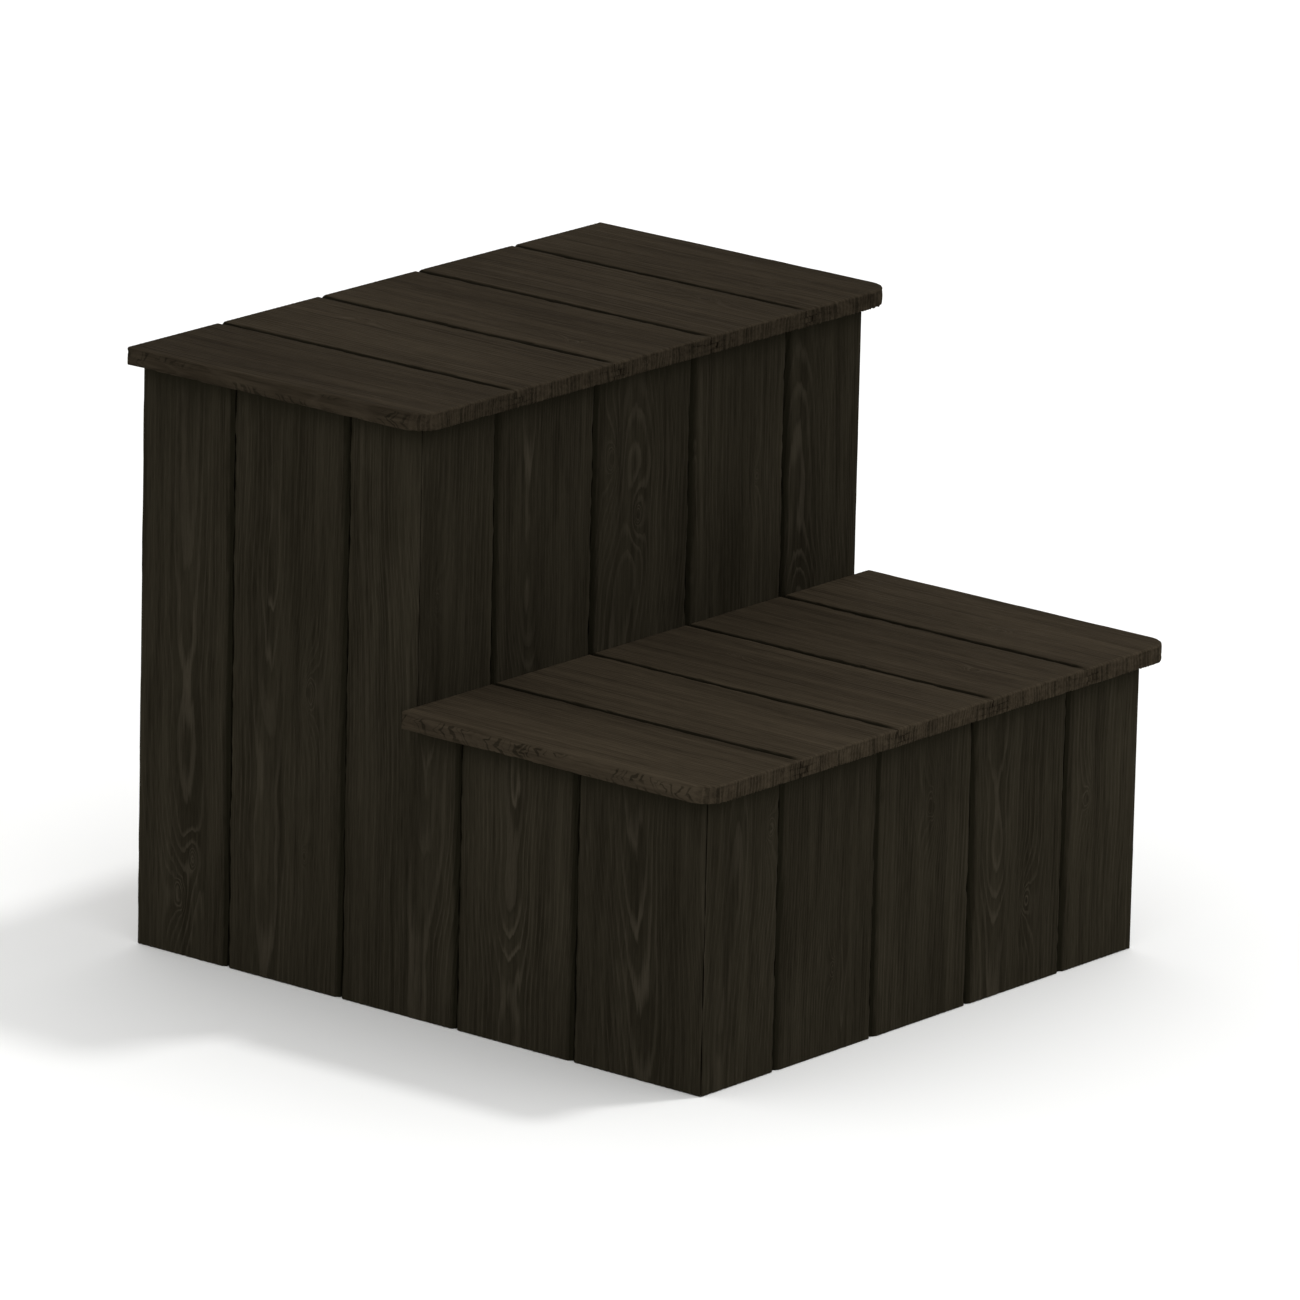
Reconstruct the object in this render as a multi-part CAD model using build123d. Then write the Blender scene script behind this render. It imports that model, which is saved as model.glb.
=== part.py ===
"""Two-step wooden spa steps, clad all round in tongue-and-groove boards on a timber frame.

Millimetres. +X is to the right seen from the front, +Y goes back towards the spa, +Z is up.
The origin is on the floor, under the middle of the steps' outer box.
"""
import os

from build123d import *

# Cladding boards
BOARDS = 5               # in each wall, riser and tread
BOARD_COVER = 112.0      # from joint to joint
BOARD_THICK = 14.0
FIRST_SIDE_COVER = 123.0  # the front board of each side wall, from the corner to its joint
WALL_V = 4.0             # chamfer of a wall board along its joint
TREAD_V = 2.5            # chamfer of a tread board along its joint
JOINT_GAP = 0.6          # between the shoulders of two boards
TONGUE_THICK = 4.0
TONGUE_LENGTH = 7.0
TONGUE_CLEARANCE = 0.2   # around the tongue, each way
GROOVE_DEPTH = 7.6
CORNER_EASE = 1.2        # flat taken off each mitred corner
MITRE_GAP = 0.1          # each board stands this far off the mitre

# Outer shape
BODY_WIDTH = 508.0       # over the side walls
BODY_DEPTH = 547.0       # from the front wall to the back
LOW_DEPTH = 275.0        # from the front wall to the riser
LOW_RISE = 239.0         # floor to the low tread
TOP_RISE = 225.0         # low tread to the top tread
FRONT_OVERHANG = 16.0
SIDE_OVERHANG = 18.0
TREAD_CORNER = 20.0      # radius of a tread's front corners, seen from above
TREAD_TOP_ROUND = 2.0
TREAD_UNDER_ROUND = 1.2

# Frame timber
POST = 45.0
RAIL_HEIGHT = 45.0
RAIL_THICK = 21.0
RAIL_FLOOR_GAP = 20.0    # under the bottom rails
POST_EASE = 1.5

# Screws: countersunk, with a hexagonal socket
BOARD_SCREW = 4.0        # thread diameter
FRAME_SCREW = 4.5
HEAD_FACTOR = 2.0        # head diameter over thread diameter
POINT_LENGTH = 4.0
POINT_FACTOR = 0.2       # radius of the blunt tip over the thread's radius
SOCKET_FACTOR = 0.45     # socket radius over thread diameter
SOCKET_DEPTH = 2.0
PILOT_CLEARANCE = 0.1
SHORT = 30.0             # rail and board
LONG = 55.0              # up through a rail on edge, and a board
THROUGH = 75.0           # post, rail and board
FRAMING = 60.0           # rail and post
SANDWICH = 50.0          # ledger, riser board and rail
SCREW_FROM_EDGE = 12.0   # the first and the last screw line in a rail or post
PAST_WALL_SCREWS = 20.0  # upright screws stand this far beside the level ones

SAME_PLACE = 0.01        # two levels this close are one

# Levels and planes worked out from the dimensions above
TOTAL_RISE = LOW_RISE + TOP_RISE
LOW_WALL = LOW_RISE - BOARD_THICK
TALL_WALL = TOTAL_RISE - BOARD_THICK
NOSE_Y = -(BODY_DEPTH + FRONT_OVERHANG) / 2
FRONT_Y = NOSE_Y + FRONT_OVERHANG
RISER_Y = FRONT_Y + LOW_DEPTH
BACK_Y = FRONT_Y + BODY_DEPTH
FACE_X = BODY_WIDTH / 2
TREAD_X = FACE_X + SIDE_OVERHANG
LINING_X = FACE_X - BOARD_THICK        # inner face of the side walls
LINING_FRONT = FRONT_Y + BOARD_THICK   # inner face of the front wall
LINING_RISER = RISER_Y + BOARD_THICK   # inner face of the riser
RAIL_X = LINING_X - RAIL_THICK         # inner face of the side rails
POST_X = RAIL_X - POST / 2             # middle of the posts
BOTTOM_RAIL = RAIL_FLOOR_GAP
LOW_RAIL = LOW_WALL - RAIL_HEIGHT
TALL_RAIL = TALL_WALL - RAIL_HEIGHT
FRONT_POST_Y = LINING_FRONT + RAIL_THICK + POST / 2
MIDDLE_POST_Y = LINING_RISER + RAIL_THICK + POST / 2
REAR_POST_Y = BACK_Y - RAIL_THICK - POST / 2
LEDGER_Y = RISER_Y - RAIL_THICK / 2
RISER_RAIL_Y = LINING_RISER + RAIL_THICK / 2
FRONT_RAIL_Y = LINING_FRONT + RAIL_THICK / 2
REAR_RAIL_Y = BACK_Y - RAIL_THICK / 2
LOW_BEARER_Y = (LINING_FRONT + RAIL_THICK + RISER_Y - RAIL_THICK) / 2
TOP_BEARER_Y = (LINING_RISER + RAIL_THICK + BACK_Y - RAIL_THICK) / 2

FRONT_JOINTS = [-1.5 * BOARD_COVER, -0.5 * BOARD_COVER, 0.5 * BOARD_COVER, 1.5 * BOARD_COVER]
SIDE_JOINTS = [FRONT_Y + FIRST_SIDE_COVER + i * BOARD_COVER for i in range(4)]
NOTCHED_BOARD = 3        # the side board that the riser meets

wood = {}    # node name: solid
screws = {}  # node name: list of screws, each (place, length, thread diameter)


def edge_points(s, inward, kind, v):
    """Half outline of a board at one edge: s along the wall, t from the face into the board."""
    if kind == "mitre":
        s += inward * MITRE_GAP
        ease = CORNER_EASE
        return [(s + inward * ease, 0), (s + inward * ease / 2, ease / 2),
                (s + inward * BOARD_THICK, BOARD_THICK)]
    if kind == "square":
        return [(s, 0), (s, BOARD_THICK)]
    s += inward * JOINT_GAP / 2
    half = TONGUE_THICK / 2
    reach = -inward * TONGUE_LENGTH
    if kind == "groove":
        half += TONGUE_CLEARANCE
        reach = inward * GROOVE_DEPTH
    middle = (BOARD_THICK + v) / 2
    return [(s + inward * v, 0), (s, v), (s, middle - half), (s + reach, middle - half),
            (s + reach, middle + half), (s, middle + half), (s, BOARD_THICK)]


def board(start, end, edges, v, place, along):
    """A board: its outline from start to end, put in space by place(s, t), pushed out by along."""
    outline = edge_points(start, 1, edges[0], v) + edge_points(end, -1, edges[1], v)[::-1]
    corners = [place(s, t) for s, t in outline]
    return Solid.extrude(Face(Wire.make_polygon(corners)), Vector(*along))


def edge_kinds(number, first, last):
    """Groove on the low side and tongue on the high side, but for the two end boards."""
    return (first if number == 1 else "groove", last if number == BOARDS else "tongue")


def upright(start, end, edges, place, z0, z1):
    """A wall board that stands from z0 to z1."""
    return board(start, end, edges, WALL_V, lambda s, t: (*place(s, t), z0), (0, 0, z1 - z0))


def front_place(s, t):
    return (s, FRONT_Y + t)


def riser_place(s, t):
    return (s, RISER_Y + t)


def left_place(s, t):
    return (-FACE_X + t, s)


def block(x0, x1, y0, y1, z0, z1):
    """A straight piece of frame timber with its four long edges eased."""
    size = (abs(x1 - x0), abs(y1 - y0), abs(z1 - z0))
    long_axis = [Axis.X, Axis.Y, Axis.Z][size.index(max(size))]
    centre = ((x0 + x1) / 2, (y0 + y1) / 2, (z0 + z1) / 2)
    timber = Pos(*centre) * Box(*size)
    return chamfer(timber.edges().filter_by(long_axis), POST_EASE)


def make_front_wall():
    limits = [-FACE_X, *FRONT_JOINTS, FACE_X]
    for n, (start, end) in enumerate(zip(limits, limits[1:]), 1):
        edges = edge_kinds(n, "mitre", "mitre")
        wood[f"front_board_{n}"] = upright(start, end, edges, front_place, 0, LOW_WALL)


def rail_notch(side):
    """The room that a low side rail takes from the riser's end board. The left side is -1, the right 1."""
    width = FACE_X - RAIL_X + BOARD_THICK
    centre = (side * (RAIL_X + width / 2), RISER_Y + BOARD_THICK / 2, LOW_WALL - RAIL_HEIGHT)
    return Pos(*centre) * Box(width, 2 * BOARD_THICK, 2 * RAIL_HEIGHT)


def make_riser():
    """The end boards are mitred to the side walls above the low tread."""
    limits = [-FACE_X, *FRONT_JOINTS, FACE_X]
    for n, (start, end) in enumerate(zip(limits, limits[1:]), 1):
        edges = edge_kinds(n, "mitre", "mitre")
        wood[f"riser_board_{n}"] = upright(start, end, edges, riser_place, LOW_RAIL, TALL_WALL)
    wood["riser_board_1"] -= rail_notch(-1)
    wood[f"riser_board_{BOARDS}"] -= rail_notch(1)


def make_side_walls():
    """Left boards, and the right ones as their mirror images."""
    limits = [FRONT_Y, *SIDE_JOINTS, BACK_Y]
    for n, (start, end) in enumerate(zip(limits, limits[1:]), 1):
        edges = edge_kinds(n, "mitre", "square")
        top = LOW_WALL if n <= NOTCHED_BOARD else TALL_WALL
        piece = upright(start, end, edges, left_place, 0, top)
        if n == NOTCHED_BOARD:
            piece += upright(RISER_Y, end, ("mitre", edges[1]), left_place, LOW_WALL, TALL_WALL)
        wood[f"left_board_{n}"] = piece
        wood[f"right_board_{n}"] = piece.mirror(Plane.YZ)


def tread_blank(y0, y1, top):
    """A whole tread before it is divided: round front corners, eased front and side edges."""
    middle = top - BOARD_THICK / 2
    slab = Pos(0, (y0 + y1) / 2, middle) * Box(2 * TREAD_X, y1 - y0, BOARD_THICK)
    front = slab.edges().filter_by(Axis.Z).group_by(Axis.Y)[0]
    slab = fillet(front, TREAD_CORNER)
    for level, radius in ((top, TREAD_TOP_ROUND), (top - BOARD_THICK, TREAD_UNDER_ROUND)):
        rim = [e for e in slab.edges() if abs(e.center().Z - level) < SAME_PLACE
               and abs(e.center().Y - y1) > SAME_PLACE]
        slab = fillet(rim, radius)
    return slab


def make_tread(name, y0, y1, top):
    blank = tread_blank(y0, y1, top)
    limits = [-TREAD_X, *FRONT_JOINTS, TREAD_X]
    for n, (start, end) in enumerate(zip(limits, limits[1:]), 1):
        edges = edge_kinds(n, "square", "square")
        strip = board(start, end, edges, TREAD_V, lambda s, t: (s, y0, top - t), (0, y1 - y0, 0))
        wood[f"{name}_board_{n}"] = blank & strip


def make_posts():
    spots = {"front": (FRONT_POST_Y, LOW_WALL), "middle": (MIDDLE_POST_Y, TALL_WALL),
             "rear": (REAR_POST_Y, TALL_WALL)}
    for place, (y, height) in spots.items():
        for side, x in (("left", -POST_X), ("right", POST_X)):
            half = POST / 2
            wood[f"{side}_{place}_post"] = block(x - half, x + half, y - half, y + half, 0, height)


def cross_rail(name, y, z, half_length):
    """A rail on edge that runs from left to right."""
    wood[name] = block(-half_length, half_length, y - RAIL_THICK / 2, y + RAIL_THICK / 2,
                       z, z + RAIL_HEIGHT)


def side_rails(name, y0, y1, z):
    """A left and a right rail on edge that run from front to back, inside the side walls."""
    for side, sign in (("left", -1), ("right", 1)):
        wood[f"{side}_{name}"] = block(sign * LINING_X, sign * RAIL_X, y0, y1, z, z + RAIL_HEIGHT)


def bearer(name, y, top):
    """A rail laid flat under the middle of a tread."""
    wood[name] = block(-RAIL_X, RAIL_X, y - RAIL_HEIGHT / 2, y + RAIL_HEIGHT / 2,
                       top - RAIL_THICK, top)


def make_rails():
    cross_rail("front_bottom_rail", FRONT_RAIL_Y, BOTTOM_RAIL, LINING_X)
    cross_rail("front_top_rail", FRONT_RAIL_Y, LOW_RAIL, LINING_X)
    cross_rail("low_tread_ledger", LEDGER_Y, LOW_RAIL, RAIL_X)
    cross_rail("riser_bottom_rail", RISER_RAIL_Y, LOW_RAIL, RAIL_X)
    cross_rail("riser_top_rail", RISER_RAIL_Y, TALL_RAIL, LINING_X)
    cross_rail("rear_bottom_rail", REAR_RAIL_Y, BOTTOM_RAIL, LINING_X)
    cross_rail("rear_top_rail", REAR_RAIL_Y, TALL_RAIL, LINING_X)
    front = LINING_FRONT + RAIL_THICK
    rear = BACK_Y - RAIL_THICK
    side_rails("bottom_rail", front, rear, BOTTOM_RAIL)
    side_rails("low_rail", front, MIDDLE_POST_Y + POST / 2, LOW_RAIL)
    side_rails("top_rail", LINING_RISER + RAIL_THICK, rear, TALL_RAIL)
    bearer("low_tread_bearer", LOW_BEARER_Y, LOW_WALL)
    bearer("top_tread_bearer", TOP_BEARER_Y, TALL_WALL)


def screw_solid(length, thread, clearance=0.0):
    """A countersunk screw along -Z with the top of its head at the origin.

    With a clearance it is the plain hole for the screw, a little larger all round.
    """
    r = thread / 2 + clearance
    head = thread * HEAD_FACTOR / 2 + clearance
    shank = -length + POINT_LENGTH
    tip = -length - clearance
    outline = [(0, 0), (head, 0), (r, r - head), (r, shank), (POINT_FACTOR * r, tip), (0, tip)]
    profile = Face(Wire.make_polygon([(x, 0, z) for x, z in outline]))
    body = revolve(profile, Axis.Z)
    if clearance:
        return body
    socket = extrude(RegularPolygon(SOCKET_FACTOR * thread, 6), -SOCKET_DEPTH)
    return body - socket


def drive(group, point, direction, length, thread=BOARD_SCREW):
    """Put a screw in a group: its head is at point, and it goes in along direction."""
    upside = Vector(*direction) * -1
    across = (1, 0, 0) if direction[2] else (0, 0, 1)
    place = Location(Plane(origin=point, x_dir=across, z_dir=upside))
    screws.setdefault(group, []).append((place, length, thread))


def board_middles():
    """Where the screws of the five boards of a front wall, riser or tread are, from left to right."""
    return [-POST_X, -BOARD_COVER, 0.0, BOARD_COVER, POST_X]


def fix_cross_wall(group, inner_face, rails):
    """Screws from behind, through each rail, or through the post and the rail in the end boards."""
    for z in rails:
        for x in board_middles():
            on_post = abs(x) == POST_X
            head = inner_face + RAIL_THICK + (POST if on_post else 0)
            length = THROUGH if on_post else SHORT
            drive(group, (x, head, z + RAIL_HEIGHT / 2), (0, -1, 0), length)


def fix_side_walls():
    """Screws from inside: each board to the rails that it crosses, clear of the posts."""
    ends = [FRONT_Y, *SIDE_JOINTS, BACK_Y]
    first = (FRONT_POST_Y + POST / 2 + ends[1]) / 2
    second = (ends[1] + ends[2]) / 2
    third_low = (ends[2] + RISER_Y - RAIL_THICK) / 2
    fourth = (ends[3] + ends[4]) / 2
    fifth = (ends[4] + REAR_POST_Y - POST / 2) / 2
    spots = [(y, BOTTOM_RAIL) for y in (first, second, RISER_Y, fourth, fifth)]
    spots += [(y, LOW_RAIL) for y in (first, second, third_low)]
    spots += [(y, TALL_RAIL) for y in (fourth, fifth)]
    for side, sign in (("left", -1), ("right", 1)):
        group = f"{side}_wall_screws"
        for y, z in spots:
            drive(group, (sign * RAIL_X, y, z + RAIL_HEIGHT / 2), (sign, 0, 0), SHORT)
        above_riser_screws = TALL_RAIL + RAIL_HEIGHT - SCREW_FROM_EDGE
        through_post = (sign * (RAIL_X - POST), MIDDLE_POST_Y, above_riser_screws)
        drive(group, through_post, (sign, 0, 0), THROUGH)


def fix_tread(group, cross_rows, side_rows, bearer_y, top):
    """Screws from below: up through the rails on edge, and through the flat bearer.

    The three middle boards are held by the cross rails, the two end boards by the side rails.
    """
    side_x = (LINING_X + RAIL_X) / 2
    for x in board_middles():
        at_end = abs(x) == POST_X
        spots = [(x + PAST_WALL_SCREWS, y) for y in cross_rows]
        if at_end:
            spots = [(side_x if x > 0 else -side_x, y) for y in side_rows]
        for spot in spots:
            drive(group, (*spot, top - RAIL_HEIGHT), (0, 0, 1), LONG)
        drive(group, (x, bearer_y, top - RAIL_THICK), (0, 0, 1), SHORT)


def fix_posts(group):
    """Two screws where each rail crosses a post: cross rails low, side rails high, so none meet."""
    apart = POST / 2 - SCREW_FROM_EDGE
    cross = [(LINING_FRONT, BOTTOM_RAIL, 1), (LINING_FRONT, LOW_RAIL, 1),
             (LINING_RISER, LOW_RAIL, 1), (LINING_RISER, TALL_RAIL, 1),
             (BACK_Y, BOTTOM_RAIL, -1), (BACK_Y, TALL_RAIL, -1)]
    side = [(FRONT_POST_Y, BOTTOM_RAIL), (MIDDLE_POST_Y, BOTTOM_RAIL), (REAR_POST_Y, BOTTOM_RAIL),
            (FRONT_POST_Y, LOW_RAIL), (MIDDLE_POST_Y, LOW_RAIL),
            (MIDDLE_POST_Y, TALL_RAIL), (REAR_POST_Y, TALL_RAIL)]
    for sign in (-1, 1):
        for shift in (-apart, apart):
            for y, z, way in cross:
                head = (sign * POST_X + shift, y, z + SCREW_FROM_EDGE)
                drive(group, head, (0, way, 0), FRAMING, FRAME_SCREW)
            for y, z in side:
                head = (sign * LINING_X, y + shift, z + RAIL_HEIGHT - SCREW_FROM_EDGE)
                drive(group, head, (-sign, 0, 0), FRAMING, FRAME_SCREW)


def fix_cross_pieces(group):
    """Screws into the ends of the ledger and the bearers, and through the ledger into the rail."""
    apart = RAIL_HEIGHT / 2 - SCREW_FROM_EDGE
    for sign in (-1, 1):
        ledger_end = (sign * LINING_X, LEDGER_Y, LOW_RAIL + RAIL_HEIGHT - SCREW_FROM_EDGE)
        drive(group, ledger_end, (-sign, 0, 0), FRAMING, FRAME_SCREW)
        for y, top in ((LOW_BEARER_Y, LOW_WALL), (TOP_BEARER_Y, TALL_WALL)):
            for shift in (-apart, apart):
                bearer_end = (sign * LINING_X, y + shift, top - RAIL_THICK / 2)
                drive(group, bearer_end, (-sign, 0, 0), FRAMING, FRAME_SCREW)
    outer = FRONT_JOINTS[-1] - PAST_WALL_SCREWS
    for x in (-outer, 0.0, outer):
        through = (x, RISER_Y - RAIL_THICK, LOW_RAIL + SCREW_FROM_EDGE)
        drive(group, through, (0, 1, 0), SANDWICH, FRAME_SCREW)


def make_screws():
    fix_cross_wall("front_wall_screws", LINING_FRONT, (BOTTOM_RAIL, LOW_RAIL))
    fix_cross_wall("riser_screws", LINING_RISER, (LOW_RAIL, TALL_RAIL))
    fix_side_walls()
    low_side = (FRONT_POST_Y + POST / 2 + SCREW_FROM_EDGE / 2, LEDGER_Y - BOARD_COVER / 2)
    top_side = (MIDDLE_POST_Y + POST / 2 + SCREW_FROM_EDGE, REAR_POST_Y - BOARD_COVER / 2)
    low_rows = (FRONT_RAIL_Y, LEDGER_Y)
    top_rows = (RISER_RAIL_Y, REAR_RAIL_Y)
    fix_tread("low_tread_screws", low_rows, low_side, LOW_BEARER_Y, LOW_WALL)
    fix_tread("top_tread_screws", top_rows, top_side, TOP_BEARER_Y, TALL_WALL)
    fix_posts("frame_screws")
    fix_cross_pieces("frame_screws")


def drill():
    """Cut every screw's hole out of the timber that it passes through."""
    holes = []
    for group in screws.values():
        for place, length, thread in group:
            hole = screw_solid(length, thread, PILOT_CLEARANCE).moved(place)
            holes.append((hole, hole.bounding_box()))
    for name, piece in wood.items():
        box = piece.bounding_box()
        cuts = [hole for hole, room in holes if box.overlaps(room)]
        if cuts:
            wood[name] = piece - cuts


def save():
    os.makedirs("parts", exist_ok=True)
    for name, piece in wood.items():
        export_step(piece, f"parts/{name}.step")
    for name, group in screws.items():
        made = [screw_solid(length, thread).moved(place) for place, length, thread in group]
        export_step(Compound(children=made), f"parts/{name}.step")


make_front_wall()
make_side_walls()
make_riser()
make_tread("low_tread", NOSE_Y, RISER_Y, LOW_RISE)
make_tread("top_tread", RISER_Y - FRONT_OVERHANG, BACK_Y, TOTAL_RISE)
make_posts()
make_rails()
make_screws()
drill()
save()
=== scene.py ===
"""Looks of the spa steps: dark stained, brushed pine boards on a timber frame, on a pale studio floor."""
import math
from collections import namedtuple

import bpy
import numpy as np
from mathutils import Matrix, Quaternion, Vector


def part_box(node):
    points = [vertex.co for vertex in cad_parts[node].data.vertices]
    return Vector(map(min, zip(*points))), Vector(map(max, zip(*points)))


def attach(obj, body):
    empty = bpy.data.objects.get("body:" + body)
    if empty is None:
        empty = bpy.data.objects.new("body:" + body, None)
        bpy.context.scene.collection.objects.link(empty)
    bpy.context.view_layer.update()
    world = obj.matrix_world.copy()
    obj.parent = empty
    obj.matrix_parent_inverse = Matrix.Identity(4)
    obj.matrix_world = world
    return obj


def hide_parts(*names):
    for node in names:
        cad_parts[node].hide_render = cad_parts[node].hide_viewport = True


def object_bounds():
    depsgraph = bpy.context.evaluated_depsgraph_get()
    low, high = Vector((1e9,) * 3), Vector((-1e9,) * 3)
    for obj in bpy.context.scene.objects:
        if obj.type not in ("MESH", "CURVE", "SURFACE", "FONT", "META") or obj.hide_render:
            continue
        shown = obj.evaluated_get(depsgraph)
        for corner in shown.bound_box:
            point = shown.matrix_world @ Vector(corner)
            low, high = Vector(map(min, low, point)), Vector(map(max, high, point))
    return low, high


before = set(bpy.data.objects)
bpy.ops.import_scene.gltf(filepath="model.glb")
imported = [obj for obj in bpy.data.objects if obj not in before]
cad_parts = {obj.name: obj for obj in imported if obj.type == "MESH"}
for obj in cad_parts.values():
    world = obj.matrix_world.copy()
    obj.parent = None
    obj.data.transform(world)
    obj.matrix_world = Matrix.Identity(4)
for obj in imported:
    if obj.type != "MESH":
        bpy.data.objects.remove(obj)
cad_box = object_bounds()

MM = 0.001

# Board section, in millimetres, as on the CAD boards
BOARDS = 5               # in each wall, riser and tread
THICK = 14.0
TONGUE = 7.0
TONGUE_HALF = 2.0
GROOVE_HALF = 2.2
GROOVE_DEEP = 7.6
WALL_V = 4.0
TREAD_V = 2.5
TREAD_CORNER = 20.0
TREAD_TOP_ROUND = 2.0
TREAD_UNDER_ROUND = 1.2
WALL_EDGE_EASE = 0.6     # where the edge of a mitred or square wall board starts
NOTCHED_SIDE_BOARD = 3

# Brushing and wear, in millimetres
WALL_BRUSHED = 0.35      # how deep the soft early wood is brushed out
TREAD_BRUSHED = 0.14
EDGE_BRUSHED = 0.25      # on a tread's outer edges
CHIPPED = 0.5            # how much deeper they lie where they are chipped
WALL_INSET = 0.05        # how far inside the CAD face even the hardest wood lies
TREAD_INSET = 0.03
JOINT_WAVES = (19, 7)    # lengths of the waves in the chamfer along a joint
JOINT_WAVE = 0.55        # their height
ROUNDED_CORNER = 1.4     # wear of an outer corner
ROUNDED_END = 1.0        # wear of a wall board's ends
ROUNDED_BACK = 0.8       # wear of a tread board's back end
RUBBED_AND_HIGHLIT = 3.2             # how far in from an outer corner the stain is rubbed thin and a highlight is painted
PAINTED_SHADE_REACH = 13.0       # how far down a wall the painted shade under its tread reaches
PAINTED_SHADE_SHARE = 0.95       # and the strength of that painted shade at the top
INSIDE_FROM = 12.6       # depth at which bare wood begins, on the back of a board
INSIDE_OVER = 1.2        # and the depth over which it does
INSIDE_TREAD = 22.0      # how far in from a tread's outline its underside is bare

# Mesh fineness, in millimetres
ACROSS_STEP = 1.0
ALONG_STEP = 3.0
ROWS = 10                # through the thickness of a board's edge
BLEND_WIDTH = 30.0       # how far from an edge its tongue, groove or mitre shifts the inner grid
WALL_EDGE_STATIONS = (0.0, 0.5, 1.1, 2.0, 3.0, 4.0, 5.2)
WALL_END_STATIONS = (0.0, 0.5, 1.2, 2.4)
TREAD_STATIONS = (0.0, 0.25, 0.7, 1.3, 2.0, 3.0, 4.2)
TURN_STATIONS = range(0, 91, 6)    # in degrees, round a tread's corner
TURN_GAP = 0.7           # from there to the next station, at least
FIRST_ROW = 0.15         # from the face to the row of points under it
SAME_PLACE = 0.3         # stations this near to a notch give way to it
HAIR = 0.01              # allowance when stations are compared
SHARP_ANGLE = math.radians(38)

# Each board comes from a seed and so a log of its own. Figured boards are flat cuts, with flames
FIRST_SEED = {"front": 100, "riser": 300, "left": 500, "right": 700, "low_tread": 900, "top_tread": 1100}
CROSS_SEED_STEP = 31
SIDE_SEED_STEP = 37
TREAD_SEED_STEP = 41
BRUSHING_SEED = 77
FIGURED = {"front": (1, 2, 4), "riser": (2, 3, 5), "left": (1, 2, 3, 4, 5), "right": (1, 3, 4)}

# Colours, linear RGB: dark early wood, mid, light late wood, and the stain where it lies thick
Stain = namedtuple("Stain", "dark mid light thick")
WALL_STAIN = Stain((0.0118, 0.0099, 0.0062), (0.0245, 0.0209, 0.0138),
                   (0.0485, 0.0408, 0.0288), (0.0110, 0.0098, 0.0058))
TREAD_STAIN = Stain((0.0165, 0.0127, 0.0083), (0.0300, 0.0233, 0.0152),
                    (0.0450, 0.0354, 0.0241), (0.0060, 0.0052, 0.0031))
# painted light: the low tread's stain is painted lighter than the top tread's, to make up for the shade
# that the riser throws on it
TREAD_PAINTED_LIGHT = {"low_tread": 1.27, "top_tread": 1.0}
BARE_WOOD = (0.085, 0.060, 0.038)
FRAME_DARK = (0.066, 0.044, 0.027, 1)
FRAME_LIGHT = (0.105, 0.074, 0.047, 1)
FRAME_LATE = (0.048, 0.030, 0.018, 1)
STEEL_DULL = (0.42, 0.41, 0.39, 1)
STEEL_BRIGHT = (0.58, 0.57, 0.55, 1)
FLOOR_PALE = (0.88, 0.88, 0.87, 1)

# Noise scales of the materials, in lumps to the metre, and the share of them that holds along the grain
FIBRES, STRANDS, STREAKS, PATCHES, CLOUDS = 1300, 330, 95, 24, 9
SAW_SCORES, SCORE_BENDS = 210.0, 75
FIBRES_ALONG, FIGURE_ALONG = 0.045, 0.22
FRAME_FIBRES, FRAME_STRANDS, FRAME_RINGS, FRAME_CLOUDS = 900, 210, 26, 7
FRAME_ALONG = 0.05
SMUDGES = 300
SCORE_SLANT = 0.016      # how far along the grain, in metres, the marks on a sawn edge lean

# The viewpoint, in metres. The roll makes up for the steps lying off the original picture's centre
CAMERA_PLACE = (-6.956, -5.716, 2.765)
CAMERA_LENS = 348
CAMERA_ROLL = math.radians(1.3)
LAMP_FROM = (0.48, -0.26, 1.0)
LAMP_STRENGTH = 0.95
LAMP_WIDTH = math.radians(7)
ROOM_STRENGTH = 1.03
FLOOR_REACH = 40.0

HALF_WIDTH = (cad_box[1] / MM).x
RISER_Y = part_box("riser_board_3")[0].y / MM
LOW_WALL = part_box("low_tread_board_3")[0].z / MM


# ---------------------------------------------------------------- camera, floor and lights

def make_camera():
    """The viewpoint of the picture to be matched, with a longer lens aimed at the steps alone."""
    data = bpy.data.cameras.new("camera")
    data.lens = CAMERA_LENS
    data.clip_end = 200
    camera = bpy.data.objects.new("camera", data)
    bpy.context.scene.collection.objects.link(camera)
    camera.location = CAMERA_PLACE
    centre = (cad_box[0] + cad_box[1]) / 2
    aim = (centre - camera.location).to_track_quat("-Z", "Y")
    camera.rotation_euler = (aim @ Quaternion((0, 0, 1), CAMERA_ROLL)).to_euler()
    bpy.context.scene.camera = camera


def make_floor():
    """A wide, pale, matt floor, for the picture only."""
    mesh = bpy.data.meshes.new("floor")
    corners = [(x * FLOOR_REACH, y * FLOOR_REACH, 0) for x, y in ((-1, -1), (1, -1), (1, 1), (-1, 1))]
    mesh.from_pydata(corners, [], [(0, 1, 2, 3)])
    floor = bpy.data.objects.new("floor", mesh)
    bpy.context.scene.collection.objects.link(floor)
    material = bpy.data.materials.new("pale_floor")
    material.use_nodes = True
    shader = material.node_tree.nodes["Principled BSDF"]
    shader.inputs["Base Color"].default_value = FLOOR_PALE
    shader.inputs["Roughness"].default_value = 0.9
    shader.inputs["Specular IOR Level"].default_value = 0.1
    mesh.materials.append(material)


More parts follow.
